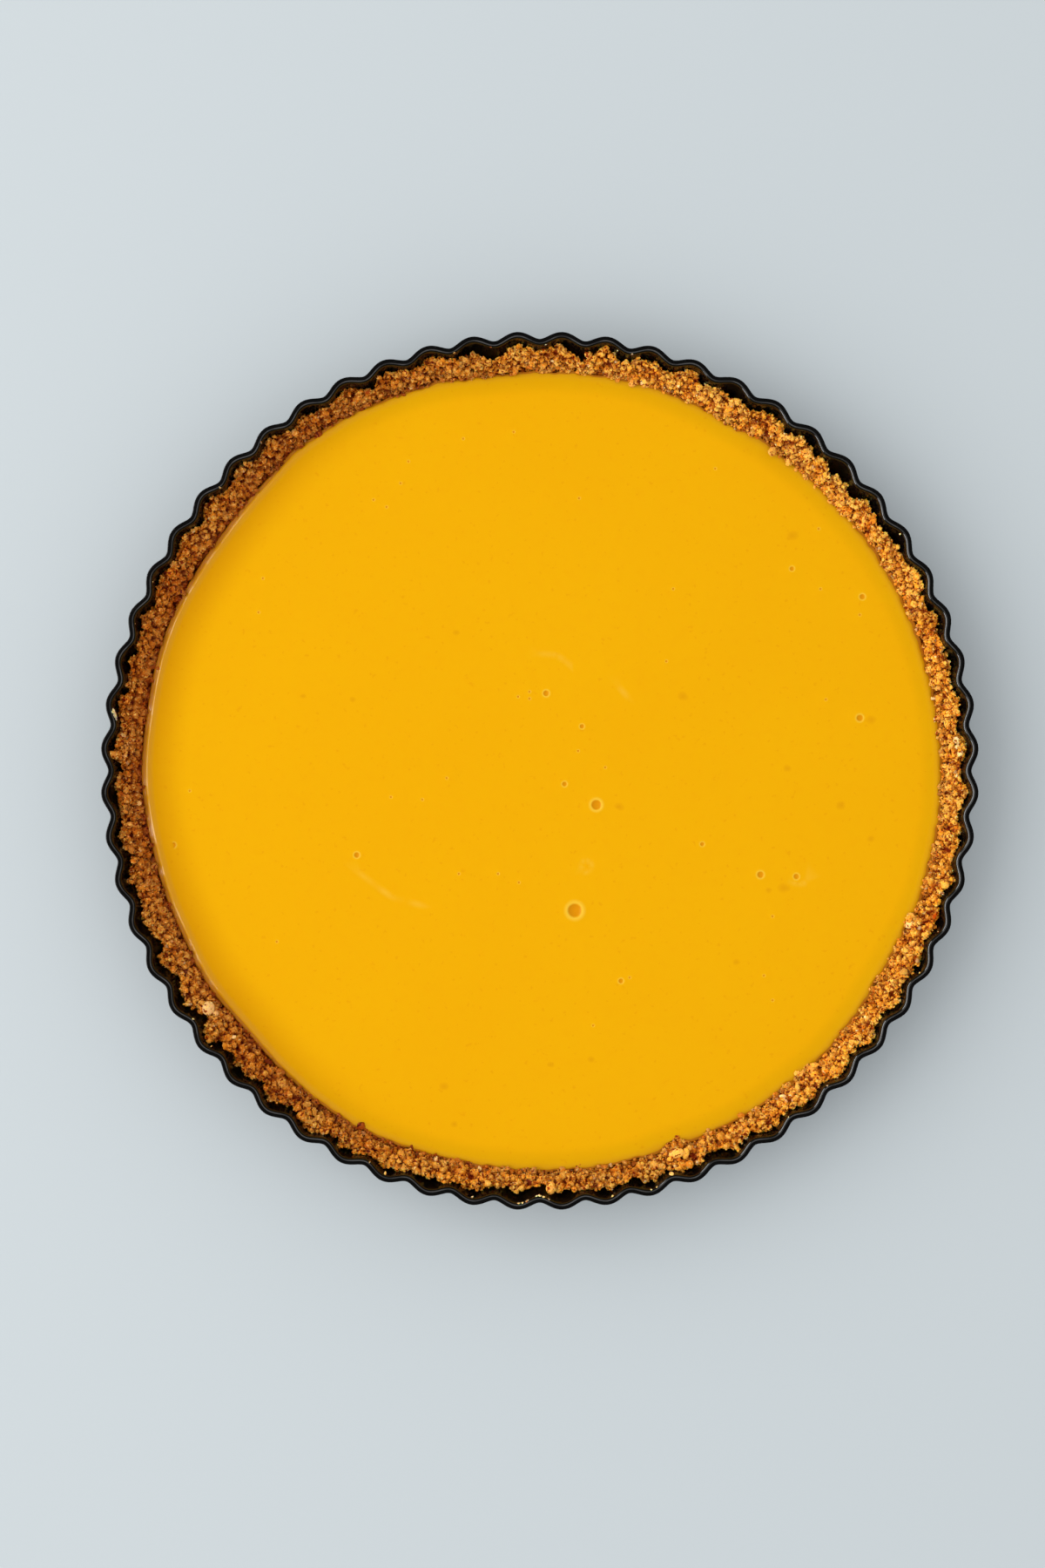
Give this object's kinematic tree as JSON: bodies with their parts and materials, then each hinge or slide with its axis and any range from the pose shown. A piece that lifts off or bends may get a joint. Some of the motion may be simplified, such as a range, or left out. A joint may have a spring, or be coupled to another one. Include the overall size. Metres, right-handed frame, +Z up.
{
  "type": "passion fruit tart in a fluted tin",
  "caption": "Round passion fruit tart: smooth yellow filling in a browned crumb crust, in its black fluted tart tin with a rolled rim.",
  "frame": {"origin": "centre of the tin's flat underside", "axes": "+Z up through the tart, +Y towards the top of the picture, +X to its right"},
  "size_m": [0.2792, 0.2792, 0.028],
  "materials": {
    "tin_coating": "glossy black non-stick coating on pressed steel",
    "baked_crumb": "matte, rough baked biscuit crumb, browned darker in its crevices",
    "fruit_curd": "smooth satin set custard with a few burst bubbles and fine orange flecks"
  },
  "bodies": {
    "root": {"tin": "tin_coating", "crust": "baked_crumb", "filling": "fruit_curd"}
  },
  "joints": []
}
